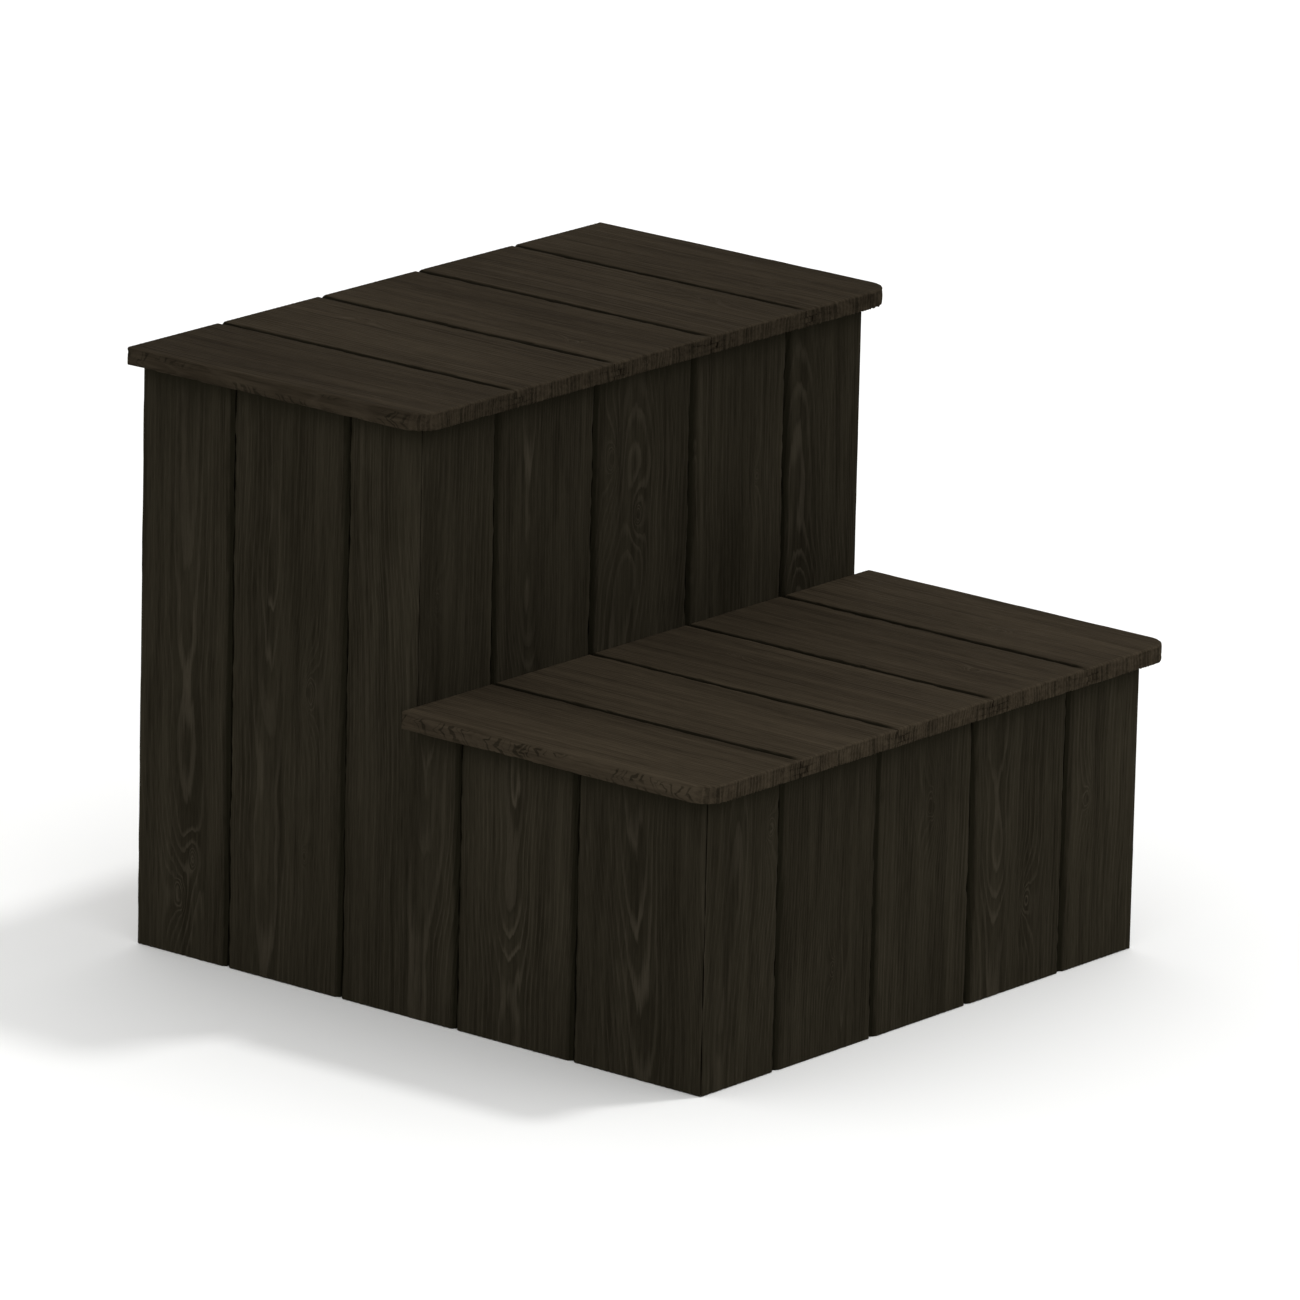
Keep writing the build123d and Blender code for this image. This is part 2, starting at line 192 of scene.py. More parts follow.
def make_light():
    """A white room, and a broad soft lamp high on the right that throws the shadow to the left."""
    world = bpy.data.worlds.new("studio")
    bpy.context.scene.world = world
    world.use_nodes = True
    sky = world.node_tree.nodes["Background"]
    sky.inputs["Color"].default_value = (1.0, 1.0, 1.0, 1)
    sky.inputs["Strength"].default_value = ROOM_STRENGTH
    lamp = bpy.data.lights.new("lamp", "SUN")
    lamp.energy = LAMP_STRENGTH
    lamp.angle = LAMP_WIDTH
    light = bpy.data.objects.new("lamp", lamp)
    bpy.context.scene.collection.objects.link(light)
    light.rotation_euler = Vector(LAMP_FROM).to_track_quat("Z", "Y").to_euler()
    bpy.context.scene.view_settings.view_transform = "Standard"


# ---------------------------------------------------------------- smooth noise

def corner_value(cells, seed):
    """A repeatable value from -1 to 1 for each whole-number cell corner, stirred by large odd numbers."""
    k = cells.astype(np.int64) & 0xFFFFFFFF
    h = (k[..., 0] * 73856093) ^ (k[..., 1] * 19349663) ^ (k[..., 2] * 83492791) ^ (seed * 2654435761)
    h &= 0xFFFFFFFF
    h = ((h ^ (h >> 15)) * 2246822519) & 0xFFFFFFFF
    h = ((h ^ (h >> 13)) * 3266489917) & 0xFFFFFFFF
    return ((h ^ (h >> 16)) & 0xFFFFFF) / 0x7FFFFF - 1.0


def noise(x, y, z, seed):
    """Smooth noise from -1 to 1, one lump to each unit cell."""
    p = np.stack(np.broadcast_arrays(x, y, z), -1).astype(float)
    base = np.floor(p)
    f = p - base
    f = f * f * f * (f * (f * 6 - 15) + 10)
    total = 0.0
    for dx in (0, 1):
        for dy in (0, 1):
            for dz in (0, 1):
                step = np.array((dx, dy, dz))
                share = np.prod(np.where(step == 1, f, 1 - f), -1)
                total = total + share * corner_value(base + step, seed)
    return total


def smooth(t):
    """0 up to 0, 1 from 1 on, and a smooth rise between."""
    t = np.clip(t, 0, 1)
    return t * t * (3 - 2 * t)


# ---------------------------------------------------------------- the wood itself

class Log:
    """Where a piece was sawn from its log: s across its face, t in from the face, l along the grain.

    A flat cut lies over the pith and shows flames and eyes. A rift cut lies to one side of it. A
    quarter cut lies beside it and shows straight lines on the face, upright lines at the ends and
    flames on the edges. All lengths are in millimetres.
    """

    WANDER = (9, 210)            # the pith's sideways bends: how far, and over what length
    # its bends towards the face: how far, over what length, and a number of its own for the noise
    RISES = ((6, 150, 2), (2.2, 52, 6))
    NEAREST = (5, 0.2)           # it stays this deep under a face, and a share of its own depth more
    SIDE_SHARE = 0.75            # rings show wide apart up to this much of the way round to the side
    # the rings' bumps: how high, how long across the face, inward and along, and a number of its own
    BUMPS = ((1.7, 33, 33, 140, 3), (0.75, 11, 11, 60, 4), (0.25, 3.5, 6, 24, 5))
    UNEVEN = (0.55, 8)           # how uneven the rings' spacing is, in rings, and over what depth
    KNOT_PULL = (2.1, 5.5, 1.9)  # in knot radii: how far across and along rings bend, and how much
    KNOT_RINGS = 2.2             # more rings in a knot
    KNOT_WAVE = (0.25, 6, 9)     # waves in a knot's outline: how high, how long across and along
    KNOT_LONG = 2.0              # how many times longer than wide a knot is
    KNOT_EDGE = 1.3              # where it has faded out, in knot radii

    def __init__(self, seed, width, length, cut):
        draw = np.random.default_rng(seed)
        self.seed = seed
        self.spacing = draw.uniform(2.7, 3.9)
        self.taper = draw.uniform(0.015, 0.045) * draw.choice([-1, 1])
        self.pith_s = draw.uniform(0.25, 0.75) * width
        self.pith_t = draw.uniform(13, 30)
        if cut == "rift":
            self.pith_s = width / 2 + draw.choice([-1, 1]) * draw.uniform(0.75, 1.1) * width
            self.pith_t = draw.uniform(25, 60)
        if cut == "quarter":
            self.pith_s = width / 2 + draw.choice([-1, 1]) * draw.uniform(0.85, 1.1) * width
            self.pith_t = draw.uniform(-12, -2)
            self.taper *= 1.5
        self.knots = []
        for _ in range(draw.integers(0, 3) if cut == "flat" else draw.integers(0, 2)):
            place = (draw.uniform(0.15, 0.85) * width, draw.uniform(0.08, 0.92) * length)
            self.knots.append((*place, draw.uniform(3.0, 6.5)))

    def rings(self, s, t, l):
        """How many growth rings out from the pith each point lies, and 1 where they lie wide apart."""
        seed = self.seed
        height, length = self.WANDER
        sideways = s - self.pith_s - height * noise(l / length, 0, 0, seed + 1)
        rise = self.taper * l
        for height, length, more in self.RISES:
            rise = rise + height * noise(l / length, 0, 0, seed + more)
        depth = t + self.pith_t + rise
        least, share = self.NEAREST
        depth = np.where(self.pith_t > 0, np.maximum(depth, least + share * depth), depth)
        radius = np.hypot(sideways, depth)
        wide = 1 - smooth(np.abs(sideways) / np.maximum(radius, 1) / self.SIDE_SHARE)
        for height, across, inward, along, more in self.BUMPS:
            radius = radius + height * noise(s / across, t / inward, l / along, seed + more)
        across, along, pull = self.KNOT_PULL
        for ks, kl, size in self.knots:
            near = ((s - ks) / (across * size)) ** 2 + ((l - kl) / (along * size)) ** 2
            radius = radius + pull * size * np.exp(-near)
        uneven, over = self.UNEVEN
        rings = radius / self.spacing + uneven * noise(radius / over, 0, 0, seed + 7)
        return rings + self.KNOT_RINGS * self.knot_share(s, l), wide

    def knot_share(self, s, l):
        """1 inside a knot, falling to 0 round it."""
        share = np.zeros(np.broadcast(s, l).shape)
        height, across, along = self.KNOT_WAVE
        for ks, kl, size in self.knots:
            bend = height * noise(s / across, l / along, 0, self.seed + 9)
            away = np.hypot(s - ks, (l - kl) / self.KNOT_LONG) / size
            share = np.maximum(share, smooth(self.KNOT_EDGE + bend - away))
        return share


def late_wood(rings):
    """0 in the soft early wood, rising to 1 in the hard line that closes each ring."""
    f = rings - np.floor(rings)
    return smooth((f - 0.40) / 0.45) * (1 - smooth((f - 0.90) / 0.10))


# ---------------------------------------------------------------- board meshes

def edge_rows(kind, v, under):
    """Through a board's edge, from the face down: how deep each row lies and how far it is shifted in."""
    if kind == "square":
        depth = np.linspace(v, THICK - under, ROWS)
        return depth, np.zeros(ROWS)
    if kind == "mitre":
        depth = np.linspace(v, THICK, ROWS)
        return depth, depth - v
    half, reach = (TONGUE_HALF, -TONGUE) if kind == "tongue" else (GROOVE_HALF, GROOVE_DEEP)
    middle = (THICK + v) / 2
    a, b = middle - half, middle + half
    inner = half * 0.66
    depth = np.array([v, (v + a) / 2, a, a, a + inner, b - inner, b, b, (b + THICK) / 2, THICK])
    shift = np.array([0, 0, 0, reach, reach, reach, reach, 0, 0, 0])
    return depth, shift


def spread(start, end, step, ends):
    """Stations from start to end at about one step, with extra ones at the given distances from both."""
    inner = max(ends)
    count = max(2, round((end - start - 2 * inner) / step))
    middle = np.linspace(start + inner, end - inner, count + 1)
    first = [start + e for e in ends if e < inner]
    last = [end - e for e in ends if e < inner]
    return np.unique(np.round(np.concatenate([first, middle, last]), 4))


def with_station(stations, place):
    """Puts a station at place, instead of any that lies almost there."""
    return np.sort(np.append(stations[np.abs(stations - place) > SAME_PLACE], place))


class Block:
    """A closed piece of timber as a grid over its face, its back and its edges.

    s runs across the face, l along the grain and t from the face into the wood.
    cells says which cells of the grid are timber, so that a piece may be notched.
    marks holds what the material needs to know at each point, from 0 to 1: where the stain pools or shade
    is painted under a tread, where it is worn or a highlight is painted on an edge, what is inside the
    steps, what is a sawn side edge and what is end grain.
    """

    MARKS = ("pool", "worn", "inside", "sawn", "ends")

    def __init__(self, s, l, cells=None):
        self.s, self.l = s, l
        shape = (len(s), len(l), ROWS)
        self.S = np.broadcast_to(s[:, None, None], shape).astype(float).copy()
        self.L = np.broadcast_to(l[None, :, None], shape).astype(float).copy()
        self.T = np.zeros(shape)
        self.marks = {mark: np.zeros(shape) for mark in self.MARKS}
        self.cells = np.ones((len(s) - 1, len(l) - 1), bool) if cells is None else cells

    def faces(self):
        """Quads over the grid's own numbering, all facing out of the timber (or all into it)."""
        ns, nl, nt = self.S.shape
        number = np.arange(ns * nl * nt).reshape(ns, nl, nt)
        i, j = np.nonzero(self.cells)
        quads = [np.stack([number[i, j, 0], number[i + 1, j, 0],
                           number[i + 1, j + 1, 0], number[i, j + 1, 0]], 1),
                 np.stack([number[i, j, -1], number[i, j + 1, -1],
                           number[i + 1, j + 1, -1], number[i + 1, j, -1]], 1)]
        room = np.pad(self.cells, 1)
        # towards each empty neighbour, a strip of quads from the face to the back, from corner a to b
        for di, dj, a, b in ((-1, 0, (0, 0), (0, 1)), (1, 0, (1, 1), (1, 0)),
                             (0, -1, (1, 0), (0, 0)), (0, 1, (0, 1), (1, 1))):
            edge = self.cells & ~room[1 + di:room.shape[0] - 1 + di, 1 + dj:room.shape[1] - 1 + dj]
            i, j = np.nonzero(edge)
            for k in range(nt - 1):
                quads.append(np.stack([number[i + a[0], j + a[1], k], number[i + b[0], j + b[1], k],
                                       number[i + b[0], j + b[1], k + 1],
                                       number[i + a[0], j + a[1], k + 1]], 1))
        return np.concatenate(quads)


def vertex_normals(points, quads):
    """Unit normals, to which large quads add more than small ones."""
    a, b, c, d = (points[quads[:, n]] for n in range(4))
    normal = np.cross(c - a, d - b)
    total = np.zeros_like(points)
    for n in range(4):
        np.add.at(total, quads[:, n], normal)
    return total / np.maximum(np.linalg.norm(total, axis=1, keepdims=True), 1e-12)


def facing_out(points, quads):
    """The quads, turned over if they face into the timber."""
    a, b, c, d = (points[quads[:, n]] for n in range(4))
    volume = np.einsum("ij,ij->i", a, np.cross(b, c)) + np.einsum("ij,ij->i", a, np.cross(c, d))
    return quads[:, ::-1] if volume.sum() < 0 else quads


def mesh_from(name, points, quads):
    """A mesh in metres, from points in millimetres."""
    mesh = bpy.data.meshes.new(name)
    mesh.vertices.add(len(points))
    mesh.vertices.foreach_set("co", (points * MM).astype(np.float32).ravel())
    mesh.loops.add(quads.size)
    mesh.loops.foreach_set("vertex_index", quads.astype(np.int32).ravel())
    mesh.polygons.add(len(quads))
    mesh.polygons.foreach_set("loop_start", np.arange(0, quads.size, 4, dtype=np.int32))
    mesh.update(calc_edges=True)
    return mesh


def add_piece(node, block, log, place, relief, material):
    """Makes the mesh: relief pushed in along the normals, and the wood's own values at each vertex."""
    quads = block.faces()
    used = np.unique(quads)
    new_number = np.full(block.S.size, -1)
    new_number[used] = np.arange(len(used))
    quads = new_number[quads]
    s, t, l = (grid.reshape(-1)[used] for grid in (block.S, block.T, block.L))
    points = np.stack(place(s, t, l), 1)
    quads = facing_out(points, quads)
    rings, wide = log.rings(s, t, l)
    knot = log.knot_share(s, l)
    depth = relief(s, t, l, rings, knot)
    points = points - vertex_normals(points, quads) * depth[:, None]
    mesh = mesh_from(node + "_grained", points, quads)
    values = {"ring": rings, "wide": np.maximum(wide, smooth(knot * 3)), "knot": knot}
    for mark, grid in block.marks.items():
        values[mark] = grid.reshape(-1)[used]
    for name, value in values.items():
        mesh.attributes.new(name, "FLOAT", "POINT").data.foreach_set("value", value.astype(np.float32))
    # each board takes its fibres from another part of the noise
    apart = log.seed * 0.37 % 50
    grain = np.stack([s * MM + apart, t * MM, l * MM], 1).astype(np.float32)
    mesh.attributes.new("grain", "FLOAT_VECTOR", "POINT").data.foreach_set("vector", grain.ravel())
    mesh.shade_smooth()
    mesh.set_sharp_from_angle(angle=SHARP_ANGLE)
    mesh.materials.append(material)
    piece = bpy.data.objects.new(node + "_grained", mesh)
    bpy.context.scene.collection.objects.link(piece)
    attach(piece, "root")
    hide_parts(node)


def rounded(distance, radius):
    """How deep a rounded edge lies at this distance in from it."""
    d = np.clip(distance, 0, radius)
    return radius - np.sqrt(np.maximum(radius * radius - (radius - d) ** 2, 0))


def v_depth(distance, v, l, seed):
    """How deep the chamfer beside a joint lies, with a slightly wavy, brushed and softened arris."""
    for n, length in enumerate(JOINT_WAVES):
        v = v + JOINT_WAVE * noise(l / length, 0, 0, seed + n)
    over = v - distance
    return 0.5 * (over + np.sqrt(over * over + 0.5))


def shape_edges(block, left, right, v, top_round, under):
    """Sets every grid point's depth and sideways shift from the two edges' kinds."""
    s = block.s
    l_depth, l_shift = edge_rows(left, v if left in ("tongue", "groove") else top_round, under)
    r_depth, r_shift = edge_rows(right, v if right in ("tongue", "groove") else top_round, under)
    across = (s - s[0]) / (s[-1] - s[0])
    edge = l_depth + (r_depth - l_depth) * across[:, None]
    plain = np.linspace(0, THICK, ROWS)
    near = 1 - smooth(np.minimum(s - s[0], s[-1] - s) / BLEND_WIDTH)
    rows = plain + (edge - plain) * near[:, None]
    block.T += rows[:, None, :]
    l_near = np.clip(1 - (s - s[0]) / BLEND_WIDTH, 0, 1)
    r_near = np.clip(1 - (s[-1] - s) / BLEND_WIDTH, 0, 1)
    block.S += (l_shift * l_near[:, None] - r_shift * r_near[:, None])[:, None, :]


def board_edges(number, first, last):
    """The kinds of a board's two edges, where first and last are the outer edges of the whole row."""
    return (first if number == 1 else "groove", last if number == BOARDS else "tongue")


def span(node, axis, right):
    """A board's start and width across its face, its tongue left out, in millimetres."""
    lo, hi = (corner[axis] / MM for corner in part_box(node))
    return lo, hi - lo - (TONGUE if right == "tongue" else 0)


# ---------------------------------------------------------------- walls and riser

# The corner cut out of a board: left of s, and "below" or "above" l
Notch = namedtuple("Notch", "s l part")


def wall_relief(s, t, l, rings, knot):
    """Brushed grain: the soft early wood lies lower than the hard late wood, on the outer side only."""
    outer = 1 - smooth((t - 5.0) / 4.0)
    valley = (1 - late_wood(rings)) * (1 - knot)
    slow = 0.5 + 0.5 * noise(s / 30, t / 30, l / 120, BRUSHING_SEED)
    return WALL_BRUSHED * outer * valley * (0.55 + 0.45 * slow) + WALL_INSET


def wall_block(width, length, left, right, notch):
    """A wall board's grid, shaped at its edges, without the cells that its notch takes away."""
    s = spread(0, width, ACROSS_STEP, WALL_EDGE_STATIONS)
    l = spread(0, length, ALONG_STEP, WALL_END_STATIONS)
    cells = None
    if notch:
        s = with_station(s, notch.s)
        l = with_station(l, notch.l)
        cells = np.ones((len(s) - 1, len(l) - 1), bool)
        cut_s = s[:-1] < notch.s - HAIR
        cut_l = l[:-1] < notch.l - HAIR if notch.part == "below" else l[:-1] > notch.l - HAIR
        cells[np.ix_(cut_s, cut_l)] = False
    block = Block(s, l, cells)
    shape_edges(block, left, right, WALL_V, WALL_EDGE_EASE, 0.0)
    block.T[:, :, 0] = 0
    return block


def finish_wall_face(block, left, right, seed, notch):
    """Sinks the face to its chamfers and ends rounded by wear, and marks where the stain pools, where
    shade is painted under the tread, and where the corner is rubbed thin with a painted highlight.
    """
    s, l = block.s[:, None], block.l[None, :]
    face, pool, worn = block.T[:, :, 0], block.marks["pool"], block.marks["worn"]
    for kind, away, more in ((left, s - block.s[0], 0), (right, block.s[-1] - s, 10)):
        if kind in ("tongue", "groove"):
            v = v_depth(away, WALL_V, l, seed + more)
            face[:] = np.maximum(face, v)
            # the stain pools in the chamfer, and thinly a little way beyond it
            stained = smooth((v - 0.8) / 1.5) + 0.2 * smooth(1 - away / 6.0)
            pool += np.minimum(stained, 1)[:, :, None]
        else:
            face[:] = np.maximum(face, rounded(away, ROUNDED_CORNER) * 0.45)
            # the outer corner is lighter: rubbed thin, and a painted highlight
            worn += smooth(1 - away / RUBBED_AND_HIGHLIT)[:, :, None]
    face[:] = np.maximum(face, rounded(np.minimum(l - block.l[0], block.l[-1] - l), ROUNDED_END))
    # painted shade: the board is darker towards its top, in the shadow of the tread that overhangs it
    top = np.full_like(s, block.l[-1])
    if notch and notch.part == "above":
        top[s < notch.s] = notch.l
    painted_shade = np.where(l <= top, np.exp(-((top - l) / PAINTED_SHADE_REACH) ** 2), 0)
    pool[:] = np.minimum(pool + PAINTED_SHADE_SHARE * painted_shade[:, :, None], 1)
    # the first row under the face follows its wavy edge, so that they never cross
    block.T[:, :, 1] = np.maximum(block.T[:, :, 1], face + FIRST_ROW)
    block.marks["inside"][:] = smooth((block.T - INSIDE_FROM) / INSIDE_OVER)


def mitre_notch(block, notch):
    """Above the notch, cuts the notched edge back at 45 degrees, starting where the low tread hides it."""
    away = block.s - notch.s
    near = np.where(away > -HAIR, np.clip(1 - away / BLEND_WIDTH, 0, 1), 0)
    rising = smooth((block.l - notch.l) / THICK)
    block.S += near[:, None, None] * rising[None, :, None] * block.T
    # lighter along the mitre: rubbed thin, and a painted highlight
    rubbed_and_highlit = smooth(1 - away / RUBBED_AND_HIGHLIT)[:, None] * rising
    block.marks["worn"] += (near > 0)[:, None, None] * rubbed_and_highlit[:, :, None]


def wall_board(node, edges, place, size, seed, cut, material, notch):
    """One board of a wall or the riser. size is its width and length, and place puts it in the frame."""
    block = wall_block(*size, *edges, notch)
    finish_wall_face(block, *edges, seed, notch)
    if notch and notch.part == "above":
        mitre_notch(block, notch)
    add_piece(node, block, Log(seed, *size, cut), place, wall_relief, material)


def make_cross_wall(name, material):
    """The front wall or the riser. s runs along +X, but from the right on the last riser board."""
    for n in range(1, BOARDS + 1):
        node = f"{name}_board_{n}"
        edges = board_edges(n, "mitre", "mitre")
        edge, width = span(node, 0, edges[1])
        lo, hi = (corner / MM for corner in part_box(node))
        sign = 1
        notch = None
        if name == "riser" and n in (1, BOARDS):
            if n == BOARDS:
                edge, sign = hi.x, -1
                edges = edges[::-1]
            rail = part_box("riser_bottom_rail")[1].x / MM
            notch = Notch(abs(edge) - rail, LOW_WALL - lo.z, "below")

        def place(s, t, l, edge=edge, sign=sign, face=lo.y, foot=lo.z):
            return edge + sign * s, face + t, foot + l
        cut = "flat" if n in FIGURED[name] else "rift"
        seed = FIRST_SEED[name] + n * CROSS_SEED_STEP
        wall_board(node, edges, place, (width, hi.z - lo.z), seed, cut, material, notch)


def make_side_wall(side, material):
    """A side wall. s runs along +Y, and one board is notched where the riser begins."""
    sign = -1 if side == "left" else 1
    for n in range(1, BOARDS + 1):
        node = f"{side}_board_{n}"
        edges = board_edges(n, "mitre", "square")
        start, width = span(node, 1, edges[1])
        lo, hi = (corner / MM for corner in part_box(node))
        face = lo.x if side == "left" else hi.x
        notch = Notch(RISER_Y - start, LOW_WALL, "above") if n == NOTCHED_SIDE_BOARD else None

        def place(s, t, l, start=start, face=face, foot=lo.z):
            return face - sign * t, start + s, foot + l
        cut = "flat" if n in FIGURED[side] else "rift"
        seed = FIRST_SEED[side] + n * SIDE_SEED_STEP
        wall_board(node, edges, place, (width, hi.z - lo.z), seed, cut, material, notch)


# ---------------------------------------------------------------- treads

def outline_distance(x, y, front):
    """How far a point of a tread lies in from its front and side outline, rounded at the corners."""
    dx = HALF_WIDTH - np.abs(x)
    dy = y - front
    r = TREAD_CORNER
    corner = r - np.hypot(np.maximum(r - dx, 0), np.maximum(r - dy, 0))
    return np.where((dx < r) & (dy < r), corner, np.minimum(dx, dy))


def tread_stations(n, width):
    """Across a tread board, and closer together round the corner of an outer one."""
    s = spread(0, width, ACROSS_STEP, TREAD_STATIONS)
    turns = TREAD_CORNER * (1 - np.cos(np.radians(TURN_STATIONS)))
    past = TREAD_CORNER + TURN_GAP
    if n == 1:
        return np.unique(np.concatenate([turns, s[s > past]]))
    if n == BOARDS:
        return np.unique(np.concatenate([s[s < width - past], width - turns]))
    return s


def turn_corners(block, x):
    """Sets the front ends of the grid's rows on the outline, which turns back at the corners."""
    past = np.maximum(np.abs(x) - (HALF_WIDTH - TREAD_CORNER), 0)
    setback = TREAD_CORNER - np.sqrt(np.maximum(TREAD_CORNER ** 2 - past ** 2, 0))
    setback = setback[:, None, None]
    length = block.l[-1]
    block.L = setback + block.L * (length - setback) / length


def finish_tread_face(block, edges, away, seed):
    """Rounds the outline, sinks the joints' chamfers and marks their stain, and the nosing that is rubbed
    thin and given a painted highlight.
    """
    s, l = block.s, block.L[:, :, 0]
    face = block.T[:, :, 0]
    face[:] = rounded(away[:, :, 0], TREAD_TOP_ROUND)
    block.T[:, :, -1] = THICK - rounded(away[:, :, -1], TREAD_UNDER_ROUND)
    # the joints' chamfers run out towards the rounded nosing
    fade = 0.3 + 0.7 * smooth(l / 14.0)
    for kind, gap, more in ((edges[0], s - s[0], 0), (edges[1], s[-1] - s, 10)):
        if kind in ("tongue", "groove"):
            groove = v_depth(gap[:, None], TREAD_V, l, seed + more) * fade
            face[:] = np.maximum(face, groove)
            stained = smooth((groove - 0.1) / 0.5) * (fade - 0.3) / 0.7
            block.marks["pool"] += stained[:, :, None]
    # a lighter band along the rounded edge of the outline: rubbed thin, and a painted highlight
    block.marks["worn"] += 1 - smooth(np.abs(away - 1.2) / 2.2)
    face[:] = np.maximum(face, rounded(block.l[-1] - l, ROUNDED_BACK))
    block.T[:, :, 1] = np.maximum(block.T[:, :, 1], face + FIRST_ROW)


def tread_board(name, n, material):
    """One board of a tread: s runs along +X, l back from its nosing, t down."""
    node = f"{name}_board_{n}"
    seed = FIRST_SEED[name] + n * TREAD_SEED_STEP
    edges = board_edges(n, "square", "square")
    start, width = span(node, 0, edges[1])
    lo, hi = (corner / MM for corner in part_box(node))
    block = Block(tread_stations(n, width), spread(0, hi.y - lo.y, ALONG_STEP, TREAD_STATIONS))
    shape_edges(block, *edges, TREAD_V, TREAD_TOP_ROUND, TREAD_UNDER_ROUND)
    turn_corners(block, start + block.s)
    x = start + block.S
    away = outline_distance(x, lo.y + block.L, lo.y)
    finish_tread_face(block, edges, away, seed)
    inside = smooth((block.T - INSIDE_FROM) / INSIDE_OVER)
    block.marks["inside"][:] = inside * smooth((away - INSIDE_TREAD) / 6)
    # below the rounded top edge, the sawn side and the end grain drink more stain
    below = smooth((block.T - 1.0) / 1.0)
    sawn = below * smooth((HALF_WIDTH - np.abs(x)) / -1.5 + 1)
    block.marks["sawn"][:] = sawn
    block.marks["ends"][:] = below * smooth(1 - away / 1.5) * (1 - sawn)

    def place(s, t, l):
        return start + s, lo.y + l, hi.z - t

    def relief(s, t, l, rings, knot):
        lower = smooth((t - 1.0) / 1.5)
        edge = lower * (outline_distance(start + s, lo.y + l, lo.y) < 3)
        valley = 1 - late_wood(rings)
        chips = smooth(0.5 + 1.6 * noise(t / 5, l / 9, s / 9, seed))
        brushed = TREAD_BRUSHED * (1 - lower) * valley * (1 - knot)
        return brushed + edge * valley * (EDGE_BRUSHED + CHIPPED * chips) + TREAD_INSET
    log = Log(seed, width, block.l[-1], "quarter")
    add_piece(node, block, log, place, relief, material)


# ---------------------------------------------------------------- materials

def rgba(colour, shade=1.0):
    """A colour made lighter or darker, and opaque."""
    return tuple(c * shade for c in colour) + (1,)


class Nodes:
    """Short calls for a node tree."""

    def __init__(self, name):
        self.material = bpy.data.materials.new(name)
        self.material.use_nodes = True
        self.tree = self.material.node_tree
        self.shader = self.tree.nodes["Principled BSDF"]

    def add(self, kind, inputs=None, **settings):
        """Adds a node. Each of its inputs is linked to a socket or set to a constant."""
        node = self.tree.nodes.new(kind)
        for key, value in settings.items():
            setattr(node, key, value)
        for key, value in (inputs or {}).items():
            if isinstance(value, bpy.types.NodeSocket):
                self.tree.links.new(value, node.inputs[key])
            else:
                node.inputs[key].default_value = value
        return node

    def math(self, operation, a, b=0.0, c=0.0):
        return self.add("ShaderNodeMath", {0: a, 1: b, 2: c}, operation=operation).outputs[0]

    def noise(self, vector, scale, detail=3.0, rough=0.55):
        inputs = {"Vector": vector, "Scale": scale, "Detail": detail, "Roughness": rough}
        return self.add("ShaderNodeTexNoise", inputs).outputs["Fac"]

    def remap(self, value, low, high, to_low=0.0, to_high=1.0):
        inputs = {"Value": value, "From Min": low, "From Max": high, "To Min": to_low, "To Max": to_high}
        return self.add("ShaderNodeMapRange", inputs, clamp=True).outputs["Result"]

    def mix(self, factor, a, b, blend="MIX"):
        """Mixes two colours, by the colour sockets of a node that has others for numbers and vectors."""
        inputs = {0: factor, 6: a, 7: b}
        return self.add("ShaderNodeMix", data_type="RGBA", blend_type=blend, inputs=inputs).outputs[2]

    def cloudy(self, colour, vector, scale, detail, low, high):
        """Makes a colour darker and lighter in broad, soft patches."""
        cloud = self.remap(self.noise(vector, scale, detail, 0.5), 0.3, 0.7, low, high)
        grey = self.add("ShaderNodeCombineColor", {0: cloud, 1: cloud, 2: cloud}).outputs[0]
        return self.mix(1.0, colour, grey, "MULTIPLY")

    def stretched(self, vector, scale):
        return self.add("ShaderNodeMapping", {"Vector": vector, "Scale": scale}).outputs[0]

    def attribute(self, name, output="Fac"):
        return self.add("ShaderNodeAttribute", attribute_name=name).outputs[output]

    def finish(self, colour, rough, height, bump, deep):
        """Sends colour, roughness and a bump of this strength and depth in metres to the shader."""
        normal = self.add("ShaderNodeBump", {"Height": height, "Strength": bump, "Distance": deep})
        self.tree.links.new(colour, self.shader.inputs["Base Color"])
        self.tree.links.new(rough, self.shader.inputs["Roughness"])
        self.tree.links.new(normal.outputs[0], self.shader.inputs["Normal"])


def growth_rings(n, strands, patches):
    """Growth rings of which no two are alike, and which show best where they lie wide apart.

    Returns the late wood's share, how boldly the ring shows, its phase from 0 to 1 and its year's value.
    """
    ring = n.math("ADD", n.attribute("ring"), n.math("MULTIPLY_ADD", strands, 0.6, -0.3))
    year = n.add("ShaderNodeTexWhiteNoise", {"W": n.math("FLOOR", ring)}, noise_dimensions="1D")
    year = year.outputs["Value"]
    phase = n.math("FRACT", ring)
    start = n.math("MULTIPLY_ADD", year, 0.35, 0.32)
    full = n.math("ADD", start, 0.24)
    late = n.math("MULTIPLY", n.remap(phase, start, full), n.remap(phase, 0.91, 1.0, 1.0, 0.0))
    bold = n.math("MULTIPLY", n.remap(patches, 0.36, 0.64, 0.3, 1.0), n.remap(year, 0.0, 1.0, 0.45, 1.0))
    bold = n.math("MULTIPLY", bold, n.remap(n.attribute("wide"), 0.0, 1.0, 0.42, 1.0))
    return late, bold, phase, year


